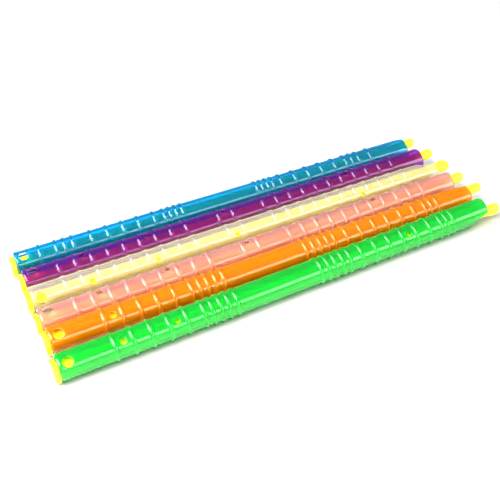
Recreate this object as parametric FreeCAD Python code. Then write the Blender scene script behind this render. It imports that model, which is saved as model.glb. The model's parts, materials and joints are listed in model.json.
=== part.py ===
"""A set of six bag sealing sticks lying side by side.

Each stick is a slotted sleeve and a rod that slides in it. The rod's flat head stops against the
sleeve's head end, and its nose sticks out of the sleeve's open mouth. X runs along the sticks from
heads to mouths, the front is -Y and Z is up. The origin is the middle of the set's footprint.
"""
import FreeCAD, Part
import math
import os

from FreeCAD import Rotation, Vector

# Sleeve, measured from its head end (mm)
SLEEVE_LENGTH = 210.0
SLEEVE_RADIUS = 6.0
WALL = 1.0
BORE_RADIUS = SLEEVE_RADIUS - WALL
EDGE_ROUND = 0.35
SLOT_WIDTH = 2.6
MOUTH_CUT_LENGTH = 9.0           # the slot side of the mouth is cut away at a slant
MOUTH_CUT_DEPTH = 2.7
MOUTH_CUT_SAG = 0.4              # the slant is slightly hollow
RING_WIDTH = 1.9
RING_HEIGHT = 0.5
HEAD_BEAD_CENTRE = 1.0           # a low bead runs round the head end
HEAD_BEAD_WIDTH = 1.2
HEAD_BEAD_HEIGHT = 0.15

# Rod
SHANK_RADIUS = 3.8
HEAD_RADIUS = 5.3
HEAD_THICKNESS = 2.4
HEAD_ROUND = 0.6
HEAD_GAP = 0.15                  # between the head and the sleeve's end
NOSE_REACH = 9.8                 # how far the nose stands out of the mouth
NOSE_LENGTH = 20.0               # from the end of the round shank to the tip
NOSE_HALF_WIDTH = 3.2
NOSE_HALF_THICKNESS = 2.6
NOSE_WIDEST = 4.0                # distance of the nose's widest place from the tip
NOSE_OFFSET = 1.35               # the nose sits beside the shank's axis
DISH_RADIUS = 6.5                # the flat side of the nose is hollowed
DISH_DEPTH = 0.8

# Oval sections of the nose: distance from the tip, half width, half thickness and share of the
# offset. The nose starts inside the shank's surface, narrows to a neck and widens again.
NOSE_SECTIONS = (
    (NOSE_LENGTH + 1.0, 3.68, 3.66, 0.0),
    (NOSE_LENGTH - 2.0, 3.63, 3.61, 0.0),
    (14.0, 3.1, 2.6, 0.5),
    (9.0, 2.45, 2.1, 0.9),
    (NOSE_WIDEST, NOSE_HALF_WIDTH, NOSE_HALF_THICKNESS, 1.0),
    (1.4, 0.8 * NOSE_HALF_WIDTH, 0.8 * NOSE_HALF_THICKNESS, 1.0),
    (0.0, 0.3 * NOSE_HALF_WIDTH, 0.3 * NOSE_HALF_THICKNESS, 1.0),
)

# The sleeve lies on its rings, and the rod's head end lies in the bottom of the bore
AXIS_HEIGHT = SLEEVE_RADIUS + RING_HEIGHT
ROD_PLAY = BORE_RADIUS - SHANK_RADIUS - 0.2


def row(first, pitch, count):
    """Centres of count rings, evenly spaced from the first."""
    return [first + pitch * i for i in range(count)]


# The three grip patterns. Single rings are 7 to 8 mm apart, and rings in a group about half that.
GRIPS = {
    "banded": (row(23.6, 7.9, 5) + row(63.1, 3.8, 5)
               + row(119.3, 3.7, 5) + row(140.3, 7.4, 6) + row(183.6, 3.45, 3)),
    "paired": row(15.8, 7.8, 9) + row(95.0, 7.4, 2) + row(118.6, 7.32, 11),
    "mirrored": ([11.8] + row(19.6, 4.05, 3) + row(36.7, 7.9, 5) + row(73.5, 3.1, 4)
                 + row(122.9, 3.0, 4) + row(136.4, 7.7, 5) + row(173.9, 3.7, 3) + [188.0]),
}


# Round holes, square to the slot, in each pattern: distance from the head end, diameter and walls.
# Seen from the head end with the slot up, the left wall is on the +Y side.
LEFT = (1,)
RIGHT = (-1,)
BOTH = (1, -1)
HOLES = {
    "banded": ((4.0, 4.6, BOTH), (27.2, 3.0, BOTH), (51.0, 2.4, LEFT), (166.0, 2.4, LEFT)),
    "paired": (
        (4.0, 4.6, BOTH),
        (27.2, 3.0, BOTH),
        (58.7, 2.4, RIGHT),
        (98.0, 2.4, RIGHT),
        (166.0, 2.4, RIGHT),
    ),
    "mirrored": ((4.0, 4.6, BOTH),),
}


class Stick:
    """Where one stick lies, and how its sleeve and rod are turned.

    head_x and head_y place the sleeve's head end, and mouth_y its mouth. slot_turn and nose_turn are
    angles in degrees from straight up towards the front. mouth_rise and mouth_back place the rod
    above and behind the sleeve's axis at the mouth, and nose_short is how much less its nose
    stands out.
    """

    def __init__(self, name, grip, head_x, head_y, mouth_y, slot_turn, nose_turn,
                 mouth_rise=0.0, mouth_back=0.0, nose_short=0.0):
        self.name = name
        self.grip = grip
        self.head_x = head_x
        self.head_y = head_y
        self.mouth_y = mouth_y
        self.slot_turn = slot_turn
        self.nose_turn = nose_turn
        self.mouth_rise = mouth_rise
        self.mouth_back = mouth_back
        self.nose_short = nose_short

    def sleeve_head(self):
        return Vector(self.head_x, self.head_y, AXIS_HEIGHT)

    def sleeve_direction(self):
        return unit(Vector(SLEEVE_LENGTH, self.mouth_y - self.head_y, 0))

    def rod_head(self):
        return self.sleeve_head() - Vector(0, 0, ROD_PLAY) - self.rod_direction() * HEAD_GAP

    def rod_direction(self):
        lean = Vector(0, self.mouth_back, ROD_PLAY + self.mouth_rise)
        return unit(self.sleeve_direction() * SLEEVE_LENGTH + lean)


STICKS = (
    Stick("blue", "mirrored", 0.1, 39.0, 34.3, -68, -35, mouth_rise=0.8, mouth_back=0.5, nose_short=2.0),
    Stick("purple", "paired", 0.6, 22.95, 20.95, -90, -60),
    Stick("clear", "paired", 0.1, 9.55, 7.55, -32, 10),
    Stick("pink", "paired", -0.2, -8.2, -6.65, -90, -60),
    Stick("orange", "banded", 0.0, -21.6, -20.4, -57, -35, mouth_rise=0.8, mouth_back=0.5),
    Stick("green", "banded", -1.2, -39.3, -34.0, 128, 105, mouth_rise=-0.8),
)


def unit(vector):
    return vector * (1.0 / vector.Length)


def profile_wire(points):
    """A closed wire of straight lines, with an arc wherever a point is given as (middle, end)."""
    edges = []
    here = points[0]
    for step in points[1:] + [points[0]]:
        if isinstance(step, tuple):
            middle, end = step
            edges.append(Part.Arc(here, middle, end).toShape())
        else:
            end = step
            edges.append(Part.LineSegment(here, end).toShape())
        here = end
    return Part.Wire(edges)


def quarter(centre_x, centre_z, radius, corner_x, corner_z):
    """The middle point of a rounded corner, on the side of its centre that the corner is on."""
    reach = radius * math.sqrt(0.5)
    return Vector(centre_x + reach * corner_x, 0, centre_z + reach * corner_z)


def sleeve_tube(ring_centres):
    """The ringed tube before its openings, turned about X from one half section."""
    last = SLEEVE_LENGTH - EDGE_ROUND
    shoulder = SLEEVE_RADIUS - EDGE_ROUND
    points = [Vector(0, 0, BORE_RADIUS), Vector(0, 0, shoulder)]
    points.append((quarter(EDGE_ROUND, shoulder, EDGE_ROUND, -1, 1), Vector(EDGE_ROUND, 0, SLEEVE_RADIUS)))
    bumps = [(HEAD_BEAD_CENTRE, HEAD_BEAD_WIDTH, HEAD_BEAD_HEIGHT)]
    bumps += [(centre, RING_WIDTH, RING_HEIGHT) for centre in ring_centres]
    for centre, width, height in bumps:
        points.append(Vector(centre - width / 2, 0, SLEEVE_RADIUS))
        crown = Vector(centre, 0, SLEEVE_RADIUS + height)
        points.append((crown, Vector(centre + width / 2, 0, SLEEVE_RADIUS)))
    points.append(Vector(last, 0, SLEEVE_RADIUS))
    points.append((quarter(last, shoulder, EDGE_ROUND, 1, 1), Vector(SLEEVE_LENGTH, 0, shoulder)))
    points.append(Vector(SLEEVE_LENGTH, 0, BORE_RADIUS))
    return Part.Face(profile_wire(points)).revolve(Vector(0, 0, 0), Vector(1, 0, 0), 360)


def slot_cutter():
    """The slot runs the whole length, through the top wall."""
    margin = 1.0
    return Part.makeBox(SLEEVE_LENGTH + 2 * margin, SLOT_WIDTH, SLEEVE_RADIUS + margin,
                        Vector(-margin, -SLOT_WIDTH / 2, 0))


def mouth_cutter():
    """A wedge that slants the slot side of the mouth back, with a slightly hollow face."""
    above = SLEEVE_RADIUS + 3.0
    margin = 1.0
    slope = MOUTH_CUT_DEPTH / MOUTH_CUT_LENGTH
    start = Vector(SLEEVE_LENGTH - MOUTH_CUT_LENGTH - margin, -above, SLEEVE_RADIUS + slope * margin)
    end = Vector(SLEEVE_LENGTH + margin, -above, SLEEVE_RADIUS - MOUTH_CUT_DEPTH - slope * margin)
    hollow = (start + end) * 0.5 - Vector(0, 0, MOUTH_CUT_SAG)
    corner = Vector(end.x, -above, above)
    back = Vector(start.x, -above, above)
    wire = profile_wire([start, (hollow, end), corner, back])
    return Part.Face(wire).extrude(Vector(0, 2 * above, 0))


def hole_cutters(grip):
    """Each round hole is cut straight outwards from the middle, once for each wall that it is in."""
    reach = SLEEVE_RADIUS + 2.0
    cutters = []
    for distance, diameter, walls in HOLES[grip]:
        for side in walls:
            cutters.append(Part.makeCylinder(diameter / 2, reach, Vector(distance, 0, 0), Vector(0, side, 0)))
    return cutters


def sleeve(grip):
    """A sleeve along +X with its slot up."""
    cutters = [slot_cutter(), mouth_cutter()] + hole_cutters(grip)
    return sleeve_tube(GRIPS[grip]).cut(cutters)


def oval(x, half_width, half_thickness, offset):
    """An oval section across the rod, its centre moved up by offset."""
    centre = Vector(x, 0, offset)
    edge = Part.Ellipse(centre + Vector(0, half_width, 0), centre + Vector(0, 0, half_thickness), centre)
    return Part.Wire(edge.toShape())


def rod_head_and_shank(shank_end):
    """The disc head with rounded edges and the straight shank, turned about X."""
    rim = HEAD_RADIUS - HEAD_ROUND
    outer = -HEAD_THICKNESS
    points = [Vector(outer, 0, 0), Vector(outer, 0, rim)]
    points.append((quarter(outer + HEAD_ROUND, rim, HEAD_ROUND, -1, 1),
                   Vector(outer + HEAD_ROUND, 0, HEAD_RADIUS)))
    points.append(Vector(-HEAD_ROUND / 2, 0, HEAD_RADIUS))
    points.append((quarter(-HEAD_ROUND / 2, HEAD_RADIUS - HEAD_ROUND / 2, HEAD_ROUND / 2, 1, 1),
                   Vector(0, 0, HEAD_RADIUS - HEAD_ROUND / 2)))
    points += [Vector(0, 0, SHANK_RADIUS), Vector(shank_end, 0, SHANK_RADIUS), Vector(shank_end, 0, 0)]
    return Part.Face(profile_wire(points)).revolve(Vector(0, 0, 0), Vector(1, 0, 0), 360)


def rod(nose_short):
    """A rod along +X, its head's inner face at X = 0 and its nose's hollow side up."""
    tip = SLEEVE_LENGTH + NOSE_REACH - nose_short
    shank_end = tip - NOSE_LENGTH
    sections = [oval(tip - distance, half_width, half_thickness, share * NOSE_OFFSET)
                for distance, half_width, half_thickness, share in NOSE_SECTIONS]
    nose = Part.makeLoft(sections, True, False)
    dish_height = NOSE_OFFSET + NOSE_HALF_THICKNESS + DISH_RADIUS - DISH_DEPTH
    dish = Part.makeSphere(DISH_RADIUS, Vector(tip - NOSE_WIDEST, 0, dish_height))
    return rod_head_and_shank(shank_end).fuse(nose.cut(dish))


def laid(shape, turn, head, direction):
    """Turns a shape about its own axis, towards the front, and lays it at head along direction."""
    placed = shape.copy()
    placed.rotate(Vector(0, 0, 0), Vector(1, 0, 0), turn)
    swing = Rotation(Vector(1, 0, 0), direction)
    placed.Placement = FreeCAD.Placement(head, swing).multiply(placed.Placement)
    return placed


def build_set():
    """Every piece in its place, keyed by node name, and the move that centres the set."""
    pieces = {}
    for stick in STICKS:
        pieces[stick.name + "_sleeve"] = laid(sleeve(stick.grip), stick.slot_turn,
                                              stick.sleeve_head(), stick.sleeve_direction())
        pieces[stick.name + "_rod"] = laid(rod(stick.nose_short), stick.nose_turn,
                                           stick.rod_head(), stick.rod_direction())
    box = Part.Compound(list(pieces.values())).optimalBoundingBox()
    centring = Vector(-box.Center.x, -box.Center.y, 0)
    for shape in pieces.values():
        shape.translate(centring)
    return pieces, centring


def main():
    os.makedirs("parts", exist_ok=True)
    pieces, centring = build_set()
    for node, shape in pieces.items():
        shape.exportStep("parts/" + node + ".step")
        print(node, "solids", len(shape.Solids), "valid", shape.isValid(), "mm3", round(shape.Volume, 1))
    print("centring move", centring)


main()
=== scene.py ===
"""Looks for the set of six bag sealing sticks. Metres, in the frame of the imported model.

Each sleeve and each rod is built here as one finely divided mesh that stands for its CAD node: it has
the same sizes, with rounded rings, lips and rims. Mesh work is in millimetres until a mesh is placed.
"""

import json
import math

import bmesh
import bpy
from mathutils import Matrix, Vector


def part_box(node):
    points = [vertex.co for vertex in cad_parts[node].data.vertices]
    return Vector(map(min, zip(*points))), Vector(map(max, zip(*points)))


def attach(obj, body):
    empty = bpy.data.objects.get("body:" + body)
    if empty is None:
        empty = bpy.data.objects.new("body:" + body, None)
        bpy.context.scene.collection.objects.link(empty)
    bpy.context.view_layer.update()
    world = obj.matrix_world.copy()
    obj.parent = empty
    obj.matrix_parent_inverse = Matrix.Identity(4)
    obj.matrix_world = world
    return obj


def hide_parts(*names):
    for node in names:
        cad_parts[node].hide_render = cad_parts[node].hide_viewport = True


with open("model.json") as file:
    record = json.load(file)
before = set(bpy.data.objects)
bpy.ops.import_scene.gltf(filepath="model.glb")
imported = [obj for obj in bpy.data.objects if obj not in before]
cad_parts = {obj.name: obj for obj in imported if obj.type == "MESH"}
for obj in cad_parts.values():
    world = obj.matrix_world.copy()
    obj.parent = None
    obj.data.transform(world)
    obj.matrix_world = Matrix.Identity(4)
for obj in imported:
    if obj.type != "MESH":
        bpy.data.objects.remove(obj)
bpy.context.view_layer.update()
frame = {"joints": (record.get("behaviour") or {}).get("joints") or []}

MM = 0.001

# ---------------------------------------------------------------- sizes (mm)
SLEEVE_LENGTH = 210.0
SLEEVE_RADIUS = 6.0
BORE_RADIUS = 5.0
EDGE_ROUND = 0.35
BORE_EDGE_ROUND = 0.2
SLOT_HALF_WIDTH = 1.3
LIP_ROUND = 0.3
MOUTH_CUT_LENGTH = 9.0
MOUTH_CUT_DEPTH = 2.7
MOUTH_CUT_SAG = 0.4
RING_HALF_WIDTH = 1.06                 # with the soft feet
RING_HEIGHT = 0.495
RING_BOW = 1.15                        # radius of a ring's round top
RING_FOOT = 0.05
RING_FADE = 8                          # power that brings a ring's feet down to the tube
HEAD_BEAD = (1.0, 0.62, 0.15)          # centre, half width, height
HOLE_ROUND = 0.22

SHANK_RADIUS = 3.8
HEAD_RADIUS = 5.3
HEAD_THICKNESS = 2.4
HEAD_OUTER_ROUND = 0.6
HEAD_INNER_ROUND = 0.3
HEAD_HOLLOW = 0.06                     # the head's outer face is slightly hollow
SHANK_FILLET = 0.25
NOSE_REACH = 9.8
NOSE_OFFSET = 1.35
NOSE_HALF_THICKNESS = 2.6
NOSE_WIDEST = 4.0                      # distance of the nose's widest place from the tip
DISH_RADIUS = 6.5
DISH_DEPTH = 0.8


def row(first, pitch, count):
    """Centres of count rings, evenly spaced from the first."""
    return [first + pitch * i for i in range(count)]


GRIPS = {
    "banded": (row(23.6, 7.9, 5) + row(63.1, 3.8, 5)
               + row(119.3, 3.7, 5) + row(140.3, 7.4, 6) + row(183.6, 3.45, 3)),
    "paired": row(15.8, 7.8, 9) + row(95.0, 7.4, 2) + row(118.6, 7.32, 11),
    "mirrored": ([11.8] + row(19.6, 4.05, 3) + row(36.7, 7.9, 5) + row(73.5, 3.1, 4)
                 + row(122.9, 3.0, 4) + row(136.4, 7.7, 5) + row(173.9, 3.7, 3) + [188.0]),
}

# Round holes in each pattern: distance from the head end, diameter and walls. Seen from the head end
# with the slot up, the left wall is on the +Y side.
LEFT = (1,)
RIGHT = (-1,)
BOTH = (1, -1)
HOLES = {
    "banded": ((4.0, 4.6, BOTH), (27.2, 3.0, BOTH), (51.0, 2.4, LEFT), (166.0, 2.4, LEFT)),
    "paired": (
        (4.0, 4.6, BOTH),
        (27.2, 3.0, BOTH),
        (58.7, 2.4, RIGHT),
        (98.0, 2.4, RIGHT),
        (166.0, 2.4, RIGHT),
    ),
    "mirrored": ((4.0, 4.6, BOTH),),
}

# Grip pattern, how far the mouth end lies behind the head end, slot and nose turns in degrees from
# straight up towards the front, and how much less the nose stands out.
STICKS = {
    "blue": ("mirrored", -4.7, -68, -35, 2.0),
    "purple": ("paired", -2.0, -90, -60, 0.0),
    "clear": ("paired", -2.0, -32, 10, 0.0),
    "pink": ("paired", 1.55, -90, -60, 0.0),
    "orange": ("banded", 1.2, -57, -35, 0.0),
    "green": ("banded", 5.3, 128, 105, 0.0),
}

# ---------------------------------------------------------------- camera
CAMERA_PLACE = Vector((-133.7, -303.3, 239.7)) * MM
CAMERA_YAW = 22.82       # degrees from +Y towards +X
CAMERA_PITCH = 35.90     # degrees down
CAMERA_ROLL = -4.73
CAMERA_LENS = 61.9       # for a 36 mm sensor


def make_camera():
    data = bpy.data.cameras.new("camera")
    data.sensor_width = 36.0
    data.lens = CAMERA_LENS
    data.clip_start = 0.01
    data.clip_end = 20.0
    camera = bpy.data.objects.new("camera", data)
    turn = (Matrix.Rotation(math.radians(-CAMERA_YAW), 4, "Z")
            @ Matrix.Rotation(math.radians(90 - CAMERA_PITCH), 4, "X")
            @ Matrix.Rotation(math.radians(CAMERA_ROLL), 4, "Z"))
    camera.matrix_world = Matrix.Translation(CAMERA_PLACE) @ turn
    bpy.context.scene.collection.objects.link(camera)
    bpy.context.scene.camera = camera


# ---------------------------------------------------------------- node helpers
def new_material(name):
    material = bpy.data.materials.new(name)
    material.use_nodes = True
    tree = material.node_tree
    tree.nodes.clear()
    return material, tree


def add_node(tree, kind, **settings):
    node = tree.nodes.new(kind)
    for key, value in settings.items():
        setattr(node, key, value)
    return node


def set_inputs(node, **values):
    """Sets sockets by name, with underscores for spaces."""
    for key, value in values.items():
        node.inputs[key.replace("_", " ")].default_value = value


def noise(tree, vector, scale, detail=3.0, roughness=0.5):
    node = add_node(tree, "ShaderNodeTexNoise")
    set_inputs(node, Scale=scale, Detail=detail, Roughness=roughness)
    tree.links.new(vector, node.inputs["Vector"])
    return node.outputs["Fac"]


def stretched(tree, vector, scale):
    """Coordinates scaled unevenly, for streaks that run along X."""
    node = add_node(tree, "ShaderNodeMapping")
    node.inputs["Scale"].default_value = scale
    tree.links.new(vector, node.inputs["Vector"])
    return node.outputs["Vector"]


def map_range(tree, value, low, high, to_low, to_high):
    node = add_node(tree, "ShaderNodeMapRange")
    node.inputs["From Min"].default_value = low
    node.inputs["From Max"].default_value = high
    node.inputs["To Min"].default_value = to_low
    node.inputs["To Max"].default_value = to_high
    tree.links.new(value, node.inputs["Value"])
    return node.outputs["Result"]


def mix_colours(tree, factor, first, second):
    node = add_node(tree, "ShaderNodeMix", data_type="RGBA")
    node.inputs["A"].default_value = (*first, 1)
    node.inputs["B"].default_value = (*second, 1)
    tree.links.new(factor, node.inputs["Factor"])
    return node.outputs["Result"]


def bump(tree, height, strength, distance, below=None):
    node = add_node(tree, "ShaderNodeBump")
    node.inputs["Strength"].default_value = strength
    node.inputs["Distance"].default_value = distance
    tree.links.new(height, node.inputs["Height"])
    if below is not None:
        tree.links.new(below, node.inputs["Normal"])
    return node.outputs["Normal"]


# ---------------------------------------------------------------- materials
PLASTIC_IOR = 1.42
MILK_DEPTH = 0.002       # how far light spreads under the skin (m)
COAT_WEIGHT = 0.6
COAT_ROUGHNESS = 0.05
COAT_IOR = 1.6
STREAK_SCALE = 260.0
CLOUD_SCALE = 45.0
SCUFF_SCALE = 1900.0
SCUFF_SHINE = 0.10       # roughness that the scuffs add


def moulded_plastic(name, tint, deep, transmission, milk, roughness):
    """Translucent moulded plastic: flow streaks in the colour, and a slightly wavy, scuffed skin."""
    material, tree = new_material(name)
    place = add_node(tree, "ShaderNodeTexCoord").outputs["Object"]
    along = stretched(tree, place, (0.15, 1.0, 1.0))
    streaks = noise(tree, along, STREAK_SCALE, 4.0, 0.6)
    clouds = noise(tree, place, CLOUD_SCALE, 2.0)
    scuffs = noise(tree, stretched(tree, place, (0.35, 1.0, 1.0)), SCUFF_SCALE, 5.0, 0.65)
    colour = mix_colours(tree, map_range(tree, streaks, 0.3, 0.75, 0.0, 1.0), tint, deep)
    shine = map_range(tree, scuffs, 0.35, 0.8, roughness, roughness + SCUFF_SHINE)
    waves = bump(tree, clouds, 0.12, 0.0004)
    skin = bump(tree, scuffs, 0.08, 0.00003, waves)
    shader = add_node(tree, "ShaderNodeBsdfPrincipled")
    set_inputs(shader, IOR=PLASTIC_IOR)
    shader.inputs["Transmission Weight"].default_value = transmission
    shader.inputs["Subsurface Weight"].default_value = milk
    shader.inputs["Subsurface Radius"].default_value = (1.0, 1.0, 1.0)
    shader.inputs["Subsurface Scale"].default_value = MILK_DEPTH
    shader.inputs["Coat Weight"].default_value = COAT_WEIGHT
    shader.inputs["Coat Roughness"].default_value = COAT_ROUGHNESS
    shader.inputs["Coat IOR"].default_value = COAT_IOR
    tree.links.new(colour, shader.inputs["Base Color"])
    tree.links.new(shine, shader.inputs["Roughness"])
    tree.links.new(skin, shader.inputs["Normal"])
    out = add_node(tree, "ShaderNodeOutputMaterial")
    tree.links.new(shader.outputs["BSDF"], out.inputs["Surface"])
    return material


# Each plastic's tint, streak tint, transmission, milk and roughness
PLASTICS = {
    "blue": ((0.0, 0.49, 0.88), (0.0, 0.42, 0.80), 0.85, 0.6, 0.09),
    "purple": ((0.49, 0.06, 0.70), (0.41, 0.04, 0.62), 0.92, 0.5, 0.09),
    "clear": ((1.0, 0.92, 0.86), (1.0, 0.89, 0.82), 0.86, 0.6, 0.08),
    "pink": ((1.0, 0.56, 0.52), (1.0, 0.50, 0.46), 0.80, 0.6, 0.09),
    "orange": ((1.0, 0.40, 0.0), (1.0, 0.34, 0.0), 0.66, 0.8, 0.11),
    "green": ((0.02, 0.80, 0.11), (0.02, 0.73, 0.09), 0.74, 0.8, 0.11),
    "yellow": ((1.0, 0.95, 0.04), (1.0, 0.88, 0.02), 0.0, 0.35, 0.24),
}


# ---------------------------------------------------------------- sleeve mesh
ARC_SIDE = 16         # columns from a slot lip to the side of the sleeve
ARC_UNDER = 38        # columns round the far half
LIP_STEPS = 3
END_STEPS = 4
PATCH_MARGIN = 0.55   # from a hole's edge to the edge of its patch
PATCH_ROW_STEP = 0.5
MOUTH_ZONE = 13       # length before the mouth that the slant moves
MOUTH_ROW_STEP = 0.6
MOUTH_ROWS = 21
PLAIN_ROW_STEP = 2
RING_STEPS = 7        # rows on each half of a ring
RING_CLEARANCE = 0.3  # from a ring's foot to the next plain row
ROW_GAP = 0.12        # rows nearer than this to a patch row are left out
END_CLEARANCE = 1.1   # times the edge rounding: no plain row is nearer to an end


def ring_height(s, rings):
    """Height of the skin above the plain tube at s along the sleeve: half-round rings with soft feet."""
    height = 0.0
    for centre in rings:
        reach = abs(s - centre)
        if reach < RING_HALF_WIDTH:
            bow = math.sqrt(RING_BOW ** 2 - reach ** 2) - (RING_BOW - RING_HEIGHT)
            soft_bow = (bow + math.sqrt(bow ** 2 + RING_FOOT ** 2)) / 2
            height += soft_bow * (1 - (reach / RING_HALF_WIDTH) ** RING_FADE)
    centre, half, top = HEAD_BEAD
    if abs(s - centre) < half:
        height += top * math.cos((s - centre) / half * math.pi / 2) ** 2
    return height


def sleeve_rows(rings, holes):
    """Distances along the sleeve where it has a row of points, between its two rounded ends."""
    rows = []
    for centre, diameter, _ in holes:
        reach = diameter / 2 + PATCH_MARGIN
        steps = 2 * round(reach / PATCH_ROW_STEP)
        rows += [centre - reach + 2 * reach * i / steps for i in range(steps + 1)]
    loose = [1.0 * i for i in range(1, int(SLEEVE_LENGTH) - MOUTH_ZONE, PLAIN_ROW_STEP)]
    loose += [SLEEVE_LENGTH - MOUTH_ZONE + MOUTH_ROW_STEP * i for i in range(MOUTH_ROWS)]
    for centre in rings:
        near = [centre + RING_HALF_WIDTH * i / RING_STEPS for i in range(-RING_STEPS, RING_STEPS + 1)]
        loose = [s for s in loose if abs(s - centre) > RING_HALF_WIDTH + RING_CLEARANCE] + near
    for s in loose:
        if min(abs(s - other) for other in rows) > ROW_GAP:
            rows.append(s)
    return sorted(rows)


def lip_arc(radius, towards_bore, half_width, rounding):
    """Points of a slot lip's rounded edge, from the skin to the flat of the lip, on the +Y side."""
    centre_radius = radius + rounding if towards_bore else radius - rounding
    centre_y = half_width + rounding
    centre_z = math.sqrt(centre_radius ** 2 - centre_y ** 2)
    start = math.atan2(centre_y, centre_z)
    if towards_bore:
        start -= math.pi
    end = -math.pi / 2
    turns = [start + (end - start) * i / LIP_STEPS for i in range(LIP_STEPS + 1)]
    return [(centre_y + rounding * math.sin(t), centre_z + rounding * math.cos(t)) for t in turns]


def arc_turns(first):
    """Angles from the slot, from one lip round to the other."""
    quarter_turn = math.pi / 2
    turns = [first + (quarter_turn - first) * i / ARC_SIDE for i in range(ARC_SIDE)]
    turns += [quarter_turn + math.pi * i / ARC_UNDER for i in range(ARC_UNDER)]
    turns += [3 * quarter_turn + (quarter_turn - first) * i / ARC_SIDE for i in range(ARC_SIDE + 1)]
    return turns


def section(skin_radius, bore_radius, half_width, rounding):
    """The C of the wall as one closed loop of (y, z), slot up: skin, far lip, bore, near lip."""
    outer_lip = lip_arc(skin_radius, False, half_width, rounding)
    inner_lip = lip_arc(bore_radius, True, half_width, rounding)
    points = []
    for turn in arc_turns(math.atan2(*outer_lip[0])):
        points.append((skin_radius * math.sin(turn), skin_radius * math.cos(turn)))
    points += [(-y, z) for y, z in outer_lip[1:]]
    points += [(-y, z) for y, z in reversed(inner_lip[1:])]
    for turn in reversed(arc_turns(math.atan2(*inner_lip[0]))):
        points.append((bore_radius * math.sin(turn), bore_radius * math.cos(turn)))
    points += inner_lip[1:]
    points += list(reversed(outer_lip[1:]))
    return points


def mouth_end(z):
    """Where the slanted mouth ends the wall at height z on the slot's side."""
    share = (z - SLEEVE_RADIUS + MOUTH_CUT_DEPTH) / MOUTH_CUT_DEPTH
    softness = 0.06
    share = (share + math.sqrt(share ** 2 + softness ** 2)) / 2
    hollow = 4 * MOUTH_CUT_SAG * MOUTH_CUT_LENGTH / MOUTH_CUT_DEPTH * share * max(0.0, 1 - share)
    return SLEEVE_LENGTH - MOUTH_CUT_LENGTH * share - hollow


def slanted(s, z):
    """Moves a point near the mouth along the sleeve, so that the last row lies on the slant."""
    start = SLEEVE_LENGTH - MOUTH_ZONE
    if s <= start:
        return s
    return start + (s - start) * (mouth_end(z) - start) / (SLEEVE_LENGTH - start)


def end_rounding():
    """(distance from the end, inset) pairs of a rounded end, from its face inwards."""
    turns = [math.pi / 2 * (1 - i / END_STEPS) for i in range(END_STEPS)]
    return [(1 - math.sin(t), 1 - math.cos(t)) for t in turns]


class MeshBuild:
    """Vertices and faces while a mesh is made."""

    def __init__(self):
        self.points = []
        self.faces = []

    def add(self, point):
        self.points.append(point)
        return len(self.points) - 1

    def add_loop(self, points):
        return [self.add(p) for p in points]

    def bridge(self, first, second):
        """A closed band of faces between two loops."""
        count = len(first)
        for i in range(count):
            j = (i + 1) % count
            self.faces.append((first[i], first[j], second[j], second[i]))


def hole_patch(build, grid, columns, rows, centre, diameter, side, rings):
    """Opens one wall's round hole in the row grid: rounded rims on the skin and the bore."""
    skin_frame = frame_of(grid, columns["skin"], rows)
    bore_frame = frame_of(grid, columns["bore"], rows)
    radius = diameter / 2
    turns = []
    for index in skin_frame:
        s, _, z = build.points[index]
        turns.append(math.atan2(z, s - centre))

    def on_wall(wall_radius, s, z, depth):
        outer = wall_radius + (ring_height(s, rings) if wall_radius > BORE_RADIUS else 0.0)
        return (s, side * (math.sqrt(outer ** 2 - z ** 2) - depth), z)

    def circle(wall_radius, reach, depth):
        return build.add_loop([on_wall(wall_radius, centre + reach * math.cos(t), reach * math.sin(t), depth)
                               for t in turns])

    def between(frame_loop, wall_radius, share):
        points = []
        rim = radius + HOLE_ROUND
        for index, t in zip(frame_loop, turns):
            s, _, z = build.points[index]
            points.append(on_wall(wall_radius, s + (centre + rim * math.cos(t) - s) * share,
                                  z + (rim * math.sin(t) - z) * share, 0.0))
        return build.add_loop(points)

    loops = [skin_frame, between(skin_frame, SLEEVE_RADIUS, 0.5)]
    fillet = [(radius + HOLE_ROUND * (1 - math.sin(a)), HOLE_ROUND * (1 - math.cos(a)))
              for a in (0, math.pi / 6, math.pi / 3, math.pi / 2)]
    loops += [circle(SLEEVE_RADIUS, reach, depth) for reach, depth in fillet]
    loops += [circle(BORE_RADIUS, reach, -depth) for reach, depth in reversed(fillet)]
    loops += [between(bore_frame, BORE_RADIUS, 0.5), bore_frame]
    for first, second in zip(loops, loops[1:]):
        build.bridge(first, second)


def frame_of(grid, columns, rows):
    """The loop of vertices round a rectangle of the grid."""
    loop = [grid[rows[0]][c] for c in columns]
    loop += [grid[r][columns[-1]] for r in rows[1:]]
    loop += [grid[rows[-1]][c] for c in reversed(columns[:-1])]
    loop += [grid[r][columns[0]] for r in reversed(rows[1:-1])]
    return loop


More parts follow.
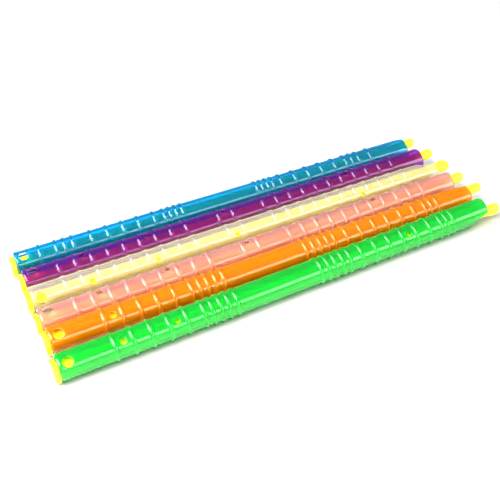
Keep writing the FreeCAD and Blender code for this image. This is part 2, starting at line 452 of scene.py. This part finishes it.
def sleeve_mesh(grip):
    """A sleeve along +X with its slot up, in millimetres."""
    build = MeshBuild()
    rings = GRIPS[grip]
    holes = HOLES[grip]
    middle = sleeve_rows(rings, holes)
    head = [(EDGE_ROUND * d, EDGE_ROUND * e, BORE_EDGE_ROUND * e) for d, e in end_rounding()]
    mouth = [(SLEEVE_LENGTH - d, e, b) for d, e, b in reversed(head)]
    clear = EDGE_ROUND * END_CLEARANCE
    middle = [s for s in middle if clear < s < SLEEVE_LENGTH - clear]
    stations = head + [(s, 0.0, 0.0) for s in middle] + mouth
    grid = []
    for s, inset, bore_inset in stations:
        skin = SLEEVE_RADIUS - inset + ring_height(s, rings)
        loop = section(skin, BORE_RADIUS + bore_inset, SLOT_HALF_WIDTH + inset, LIP_ROUND - 0.5 * inset)
        grid.append(build.add_loop([(slanted(s, z), y, z) for y, z in loop]))

    arc = 2 * ARC_SIDE + ARC_UNDER + 1
    lips = 2 * LIP_STEPS
    last = arc + lips + arc - 1
    open_faces = set()
    patches = []
    for centre, diameter, walls in holes:
        reach = diameter / 2 + PATCH_MARGIN
        rows = [i for i, station in enumerate(stations) if abs(station[0] - centre) < reach + 0.01]
        half_columns = math.ceil(reach / SLEEVE_RADIUS / (math.pi / ARC_UNDER))
        for side in walls:
            skin_column = ARC_SIDE if side == 1 else ARC_SIDE + ARC_UNDER
            skin = list(range(skin_column - half_columns, skin_column + half_columns + 1))
            bore = [last - c for c in skin]
            patches.append((rows, {"skin": skin, "bore": bore}, centre, diameter, side))
            for r in rows[:-1]:
                open_faces.update((r, c) for c in skin[:-1])
                open_faces.update((r, c - 1) for c in bore[:-1])
    count = len(grid[0])
    for r in range(len(grid) - 1):
        for c in range(count):
            if (r, c) not in open_faces:
                n = (c + 1) % count
                build.faces.append((grid[r][c], grid[r + 1][c], grid[r + 1][n], grid[r][n]))
    for rows, columns, centre, diameter, side in patches:
        hole_patch(build, grid, columns, rows, centre, diameter, side, rings)
    for r in (0, -1):
        close_end(build, grid[r], arc, lips)
    return build


def close_end(build, loop, arc, lips):
    """The end face of the wall, between the skin and the bore."""
    last = arc + lips + arc - 1
    for c in range(arc - 1):
        build.faces.append((loop[c], loop[c + 1], loop[last - c - 1], loop[last - c]))
    build.faces.append([loop[c] for c in range(arc - 1, arc + lips + 1)])
    build.faces.append([loop[c % len(loop)] for c in range(last, len(loop) + 1)])


# ---------------------------------------------------------------- rod mesh
ROD_COLUMNS = 56
NOSE_SECTIONS = (      # from the tip: distance, half width, half thickness, share of the offset
    (21.0, 3.8, 3.8, 0.0), (20.0, 3.79, 3.79, 0.0), (18.0, 3.65, 3.6, 0.05), (14.0, 3.1, 2.6, 0.5),
    (9.0, 2.45, 2.1, 0.9), (4.0, 3.2, 2.6, 1.0), (2.6, 3.1, 2.52, 1.0),
)
TIP_LENGTH = 2.6
HEAD_FACE = (          # how far in the head's outer face lies, and at which radius
    (HEAD_HOLLOW, 0.4), (0.05, 1.4), (0.03, 2.6), (0.0, 3.9), (0.0, 4.3),
)
HEAD_OUTER_STEPS = 6
HEAD_INNER_STEPS = 4
FILLET_STEPS = 4
SHANK_STEP = 3.0
NOSE_STEPS = 36
TIP_STEPS = 12


def quarter_turns(steps):
    return [math.pi / 2 * i / steps for i in range(steps + 1)]


def smooth_between(table, x):
    """Values of a table between its rows, along a smooth curve through them."""
    keys = [line[0] for line in table]
    i = 1
    while i < len(table) - 1 and x < keys[i]:
        i += 1
    before = table[max(i - 2, 0)]
    first, second = table[i - 1], table[i]
    after = table[min(i + 1, len(table) - 1)]
    span = second[0] - first[0]
    t = (x - first[0]) / span
    values = []
    for k in range(1, len(first)):
        slope_first = (second[k] - before[k]) / (second[0] - before[0]) * span
        slope_second = (after[k] - first[k]) / (after[0] - first[0]) * span
        values.append((2 * t ** 3 - 3 * t ** 2 + 1) * first[k] + (t ** 3 - 2 * t ** 2 + t) * slope_first
                      + (3 * t ** 2 - 2 * t ** 3) * second[k] + (t ** 3 - t ** 2) * slope_second)
    return values


def dished(x, y, z, tip):
    """Presses the hollow into the flat side of the nose, with a soft edge."""
    middle_x = tip - NOSE_WIDEST
    middle_z = NOSE_OFFSET + NOSE_HALF_THICKNESS + DISH_RADIUS - DISH_DEPTH
    inside = DISH_RADIUS ** 2 - (x - middle_x) ** 2 - y ** 2
    if inside <= 0 or z < 0:
        return z
    floor_z = middle_z - math.sqrt(inside)
    softness = 0.12
    return (z + floor_z - math.sqrt((z - floor_z) ** 2 + softness ** 2)) / 2


def rod_sections(nose_short):
    """(x, half width, half thickness, offset) along the rod, from the head's outer face to the tip."""
    face = -HEAD_THICKNESS
    sections = [(face + inset, radius, radius, 0.0) for inset, radius in HEAD_FACE]
    for turn in quarter_turns(HEAD_OUTER_STEPS):
        radius = HEAD_RADIUS - HEAD_OUTER_ROUND * (1 - math.sin(turn))
        sections.append((face + HEAD_OUTER_ROUND * (1 - math.cos(turn)), radius, radius, 0.0))
    for turn in quarter_turns(HEAD_INNER_STEPS):
        radius = HEAD_RADIUS - HEAD_INNER_ROUND * (1 - math.cos(turn))
        sections.append((-HEAD_INNER_ROUND * (1 - math.sin(turn)), radius, radius, 0.0))
    for turn in quarter_turns(FILLET_STEPS):
        radius = SHANK_RADIUS + SHANK_FILLET * (1 - math.sin(turn))
        sections.append((SHANK_FILLET * (1 - math.cos(turn)), radius, radius, 0.0))
    tip = SLEEVE_LENGTH + NOSE_REACH - nose_short
    nose_length = NOSE_SECTIONS[0][0]
    x = SHANK_STEP
    while x < tip - nose_length - 1:
        sections.append((x, SHANK_RADIUS, SHANK_RADIUS, 0.0))
        x += SHANK_STEP
    for i in range(NOSE_STEPS + 1):
        distance = nose_length - (nose_length - TIP_LENGTH) * i / NOSE_STEPS
        width, thickness, share = smooth_between(NOSE_SECTIONS, distance)
        sections.append((tip - distance, width, thickness, share * NOSE_OFFSET))
    width, thickness, _ = smooth_between(NOSE_SECTIONS, TIP_LENGTH)
    for turn in quarter_turns(TIP_STEPS)[1:-1]:
        narrow = math.cos(turn)
        x = tip - TIP_LENGTH * (1 - math.sin(turn))
        sections.append((x, width * narrow, thickness * narrow, NOSE_OFFSET))
    return sections, tip


def rod_mesh(nose_short):
    """A rod along +X with its head's inner face at 0 and the hollow of its nose up."""
    build = MeshBuild()
    sections, tip = rod_sections(nose_short)
    loops = []
    for x, width, thickness, offset in sections:
        loop = []
        for i in range(ROD_COLUMNS):
            turn = 2 * math.pi * i / ROD_COLUMNS
            y = width * math.sin(turn)
            z = offset + thickness * math.cos(turn)
            loop.append((x, y, dished(x, y, z, tip)))
        loops.append(build.add_loop(loop))
    for first, second in zip(loops, loops[1:]):
        build.bridge(second, first)
    face = build.add((-HEAD_THICKNESS + HEAD_HOLLOW, 0.0, 0.0))
    end = build.add((tip, 0.0, dished(tip, 0.0, NOSE_OFFSET, tip)))
    for i in range(ROD_COLUMNS):
        j = (i + 1) % ROD_COLUMNS
        build.faces.append((face, loops[0][i], loops[0][j]))
        build.faces.append((end, loops[-1][j], loops[-1][i]))
    return build


# ---------------------------------------------------------------- placing
def face_outwards(mesh):
    """Turns every face outwards, and stops if the mesh isn't closed."""
    work = bmesh.new()
    work.from_mesh(mesh)
    bmesh.ops.recalc_face_normals(work, faces=work.faces)
    open_edges = sum(1 for edge in work.edges if not edge.is_manifold)
    if open_edges:
        raise ValueError(f"{mesh.name} has {open_edges} open edges")
    work.to_mesh(mesh)
    work.free()


def placed_piece(name, build, node, body, turn, direction, material):
    """Lays a mesh where its CAD node is: turned about its own axis, then along direction."""
    mesh = bpy.data.meshes.new(name)
    mesh.from_pydata(build.points, [], build.faces)
    face_outwards(mesh)
    lay = Vector((1, 0, 0)).rotation_difference(direction).to_matrix().to_4x4()
    mesh.transform(lay @ Matrix.Rotation(math.radians(turn), 4, "X") @ Matrix.Scale(MM, 4))
    low = Vector([min(v.co[i] for v in mesh.vertices) for i in range(3)])
    high = Vector([max(v.co[i] for v in mesh.vertices) for i in range(3)])
    node_low, node_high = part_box(node)
    mesh.transform(Matrix.Translation((Vector(node_low) + Vector(node_high) - low - high) / 2))
    mesh.materials.append(material)
    for face in mesh.polygons:
        face.use_smooth = True
    mesh.update()
    piece = bpy.data.objects.new(name, mesh)
    bpy.context.scene.collection.objects.link(piece)
    normals = piece.modifiers.new("even_normals", "WEIGHTED_NORMAL")
    normals.keep_sharp = True
    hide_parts(node)
    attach(piece, body)


def make_pieces():
    slides = {joint["name"]: joint for joint in frame["joints"]}
    yellow = moulded_plastic("yellow_plastic", *PLASTICS["yellow"])
    for colour, (grip, swing, slot_turn, nose_turn, nose_short) in STICKS.items():
        plastic = moulded_plastic(colour + "_plastic", *PLASTICS[colour])
        placed_piece(colour + "_sleeve_skin", sleeve_mesh(grip), colour + "_sleeve", colour + "_sleeve_body",
                     slot_turn, Vector((SLEEVE_LENGTH, swing, 0)), plastic)
        rod_direction = -Vector(slides[colour + "_rod_slide"]["axis"])
        placed_piece(colour + "_rod_body_skin", rod_mesh(nose_short), colour + "_rod", colour + "_rod_body",
                     nose_turn, rod_direction, yellow)


# ---------------------------------------------------------------- stage
FLOOR_WHITE = (0.66, 0.66, 0.66, 1)
WORLD_STRENGTH = 0.26

# Each light aims at the origin: name, place, width and height (m) and power (W)
LIGHTS = (
    ("front_strip", (0.42, -0.90, 0.43), 1.5, 0.42, 8),
    ("left_card", (-0.60, 0.08, 0.55), 0.6, 0.9, 13),
    ("top_front_card", (-0.40, -0.42, 0.82), 0.35, 0.6, 8),
)


def make_floor():
    half = 3.0
    mesh = bpy.data.meshes.new("floor")
    corners = [(-half, -half, 0), (half, -half, 0), (half, half, 0), (-half, half, 0)]
    mesh.from_pydata(corners, [], [(0, 1, 2, 3)])
    floor = bpy.data.objects.new("floor", mesh)
    bpy.context.scene.collection.objects.link(floor)
    material, tree = new_material("floor_white")
    shader = add_node(tree, "ShaderNodeBsdfPrincipled")
    set_inputs(shader, Base_Color=FLOOR_WHITE, Roughness=0.6)
    shader.inputs["Specular IOR Level"].default_value = 0.2
    out = add_node(tree, "ShaderNodeOutputMaterial")
    tree.links.new(shader.outputs["BSDF"], out.inputs["Surface"])
    mesh.materials.append(material)


def area_light(name, place, width, height, power):
    data = bpy.data.lights.new(name, "AREA")
    data.shape = "RECTANGLE"
    data.size = width
    data.size_y = height
    data.energy = power
    light = bpy.data.objects.new(name, data)
    light.location = place
    light.rotation_mode = "QUATERNION"
    light.rotation_quaternion = (-Vector(place)).to_track_quat("-Z", "Y")
    bpy.context.scene.collection.objects.link(light)


def make_light():
    world = bpy.data.worlds.new("studio")
    world.use_nodes = True
    background = world.node_tree.nodes["Background"]
    background.inputs["Color"].default_value = (1.0, 1.0, 1.0, 1.0)
    background.inputs["Strength"].default_value = WORLD_STRENGTH
    bpy.context.scene.world = world
    for light in LIGHTS:
        area_light(*light)


make_camera()
make_pieces()
make_floor()
make_light()
bpy.context.scene.view_settings.view_transform = "Standard"
bpy.context.scene.view_settings.look = "Medium High Contrast"
